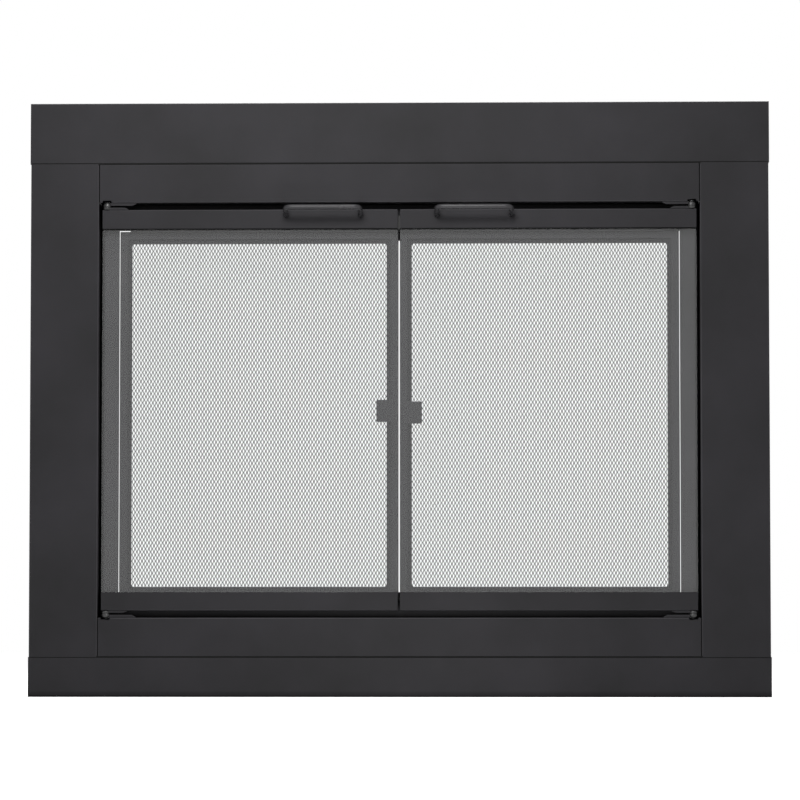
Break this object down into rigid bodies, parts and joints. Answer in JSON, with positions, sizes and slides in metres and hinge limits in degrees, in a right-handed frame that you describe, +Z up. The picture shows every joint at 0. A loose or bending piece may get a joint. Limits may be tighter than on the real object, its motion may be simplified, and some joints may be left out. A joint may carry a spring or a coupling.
{
  "type": "fireplace glass door",
  "caption": "Folded steel fireplace surround with a pair of framed glass doors on corner pivots, a pair of mesh screens behind them and lintel clamps.",
  "frame": {"origin": "centre of the surround's underside, where it stands on the hearth, at mid-depth of the folded panels", "axes": "+X to the viewer's right as one faces the doors, +Y to the rear (towards the firebox), +Z up"},
  "size_m": [0.9524, 0.128, 0.765],
  "materials": {
    "surround_paint": "satin black",
    "screen_paint": "satin black, lighter through the glass",
    "glass": "clear tempered",
    "glass_liner": "black woven heat-proof tape",
    "bare_steel": "bare, turned, darkened by heat",
    "zinc_steel": "zinc plated",
    "magnet": "dark sintered ferrite",
    "holder_aluminium": "black anodised"
  },
  "bodies": {
    "surround": {"top_panel": "surround_paint", "bottom_panel": "surround_paint", "left_side_panel": "surround_paint", "right_side_panel": "surround_paint", "panel_bolts": "zinc_steel", "panel_nuts": "zinc_steel", "door_frame_top_bar": "surround_paint", "door_frame_bottom_bar": "surround_paint", "left_frame_stile": "surround_paint", "right_frame_stile": "surround_paint", "frame_rivets": "bare_steel", "frame_hinge_leaves": "surround_paint", "pivot_bushes": "bare_steel", "screen_top_rail": "surround_paint", "screen_bottom_rail": "surround_paint", "screen_catch_plate": "surround_paint", "screen_magnets": "magnet", "magnet_holder": "holder_aluminium", "door_magnets": "magnet", "hearth_brackets": "zinc_steel", "bracket_screws": "zinc_steel", "clamp_arms": "zinc_steel", "clamp_nuts": "zinc_steel"},
    "left_glass_door": {"left_glass": "glass", "left_top_rail": "surround_paint", "left_bottom_rail": "surround_paint", "left_glass_liners": "glass_liner", "left_hinge_leaves": "surround_paint", "left_leaf_rivets": "bare_steel", "left_pivot_pins": "bare_steel", "left_pivot_collars": "bare_steel", "left_handle": "surround_paint", "left_handle_screws": "zinc_steel"},
    "left_mesh_screen": {"left_screen_frame": "screen_paint", "left_screen_mesh": "screen_paint", "left_screen_tab": "screen_paint", "left_screen_pins": "bare_steel"},
    "left_pad": {"left_clamp_pad": "zinc_steel"},
    "left_screw": {"left_clamp_screw": "zinc_steel"},
    "right_glass_door": {"right_glass": "glass", "right_top_rail": "surround_paint", "right_bottom_rail": "surround_paint", "right_glass_liners": "glass_liner", "right_hinge_leaves": "surround_paint", "right_leaf_rivets": "bare_steel", "right_pivot_pins": "bare_steel", "right_pivot_collars": "bare_steel", "right_handle": "surround_paint", "right_handle_screws": "zinc_steel"},
    "right_mesh_screen": {"right_screen_frame": "screen_paint", "right_screen_mesh": "screen_paint", "right_screen_tab": "screen_paint", "right_screen_pins": "bare_steel"},
    "right_pad": {"right_clamp_pad": "zinc_steel"},
    "right_screw": {"right_clamp_screw": "zinc_steel"}
  },
  "joints": [
    {"name": "left_glass_hinge", "type": "hinge", "parent": "surround", "child": "left_glass_door", "pos_m": [-0.37675, -0.0204, 0.3687], "axis": [0, 0, -1], "range_deg": [0, 110]},
    {"name": "right_glass_hinge", "type": "hinge", "parent": "surround", "child": "right_glass_door", "pos_m": [0.37675, -0.0204, 0.3687], "axis": [0, 0, 1], "range_deg": [0, 110]},
    {"name": "left_screen_hinge", "type": "hinge", "parent": "surround", "child": "left_mesh_screen", "pos_m": [-0.34405, -0.0074, 0.36265], "axis": [0, 0, -1], "range_deg": [0, 99]},
    {"name": "right_screen_hinge", "type": "hinge", "parent": "surround", "child": "right_mesh_screen", "pos_m": [0.34405, -0.0074, 0.36265], "axis": [0, 0, 1], "range_deg": [0, 99]},
    {"name": "left_clamp_rise", "type": "slide", "parent": "surround", "child": "left_pad", "axis": [0, 0, 1], "range_m": [0, 0.02]},
    {"name": "left_clamp_turn", "type": "hinge", "parent": "left_pad", "child": "left_screw", "pos_m": [-0.21, 0.0554, 0.6669], "axis": [0, 0, 1], "range_deg": [0, 5760]},
    {"name": "right_clamp_rise", "type": "slide", "parent": "surround", "child": "right_pad", "axis": [0, 0, 1], "range_m": [0, 0.02]},
    {"name": "right_clamp_turn", "type": "hinge", "parent": "right_pad", "child": "right_screw", "pos_m": [0.21, 0.0554, 0.6669], "axis": [0, 0, 1], "range_deg": [0, 5760]}
  ],
  "couplings": [
    {"joint": "left_screen_hinge", "follows": "left_glass_hinge", "ratio": 0.9},
    {"joint": "right_screen_hinge", "follows": "right_glass_hinge", "ratio": 0.9},
    {"joint": "left_clamp_turn", "follows": "left_clamp_rise", "rad_per_m": 5026.5},
    {"joint": "right_clamp_turn", "follows": "right_clamp_rise", "rad_per_m": 5026.5}
  ]
}
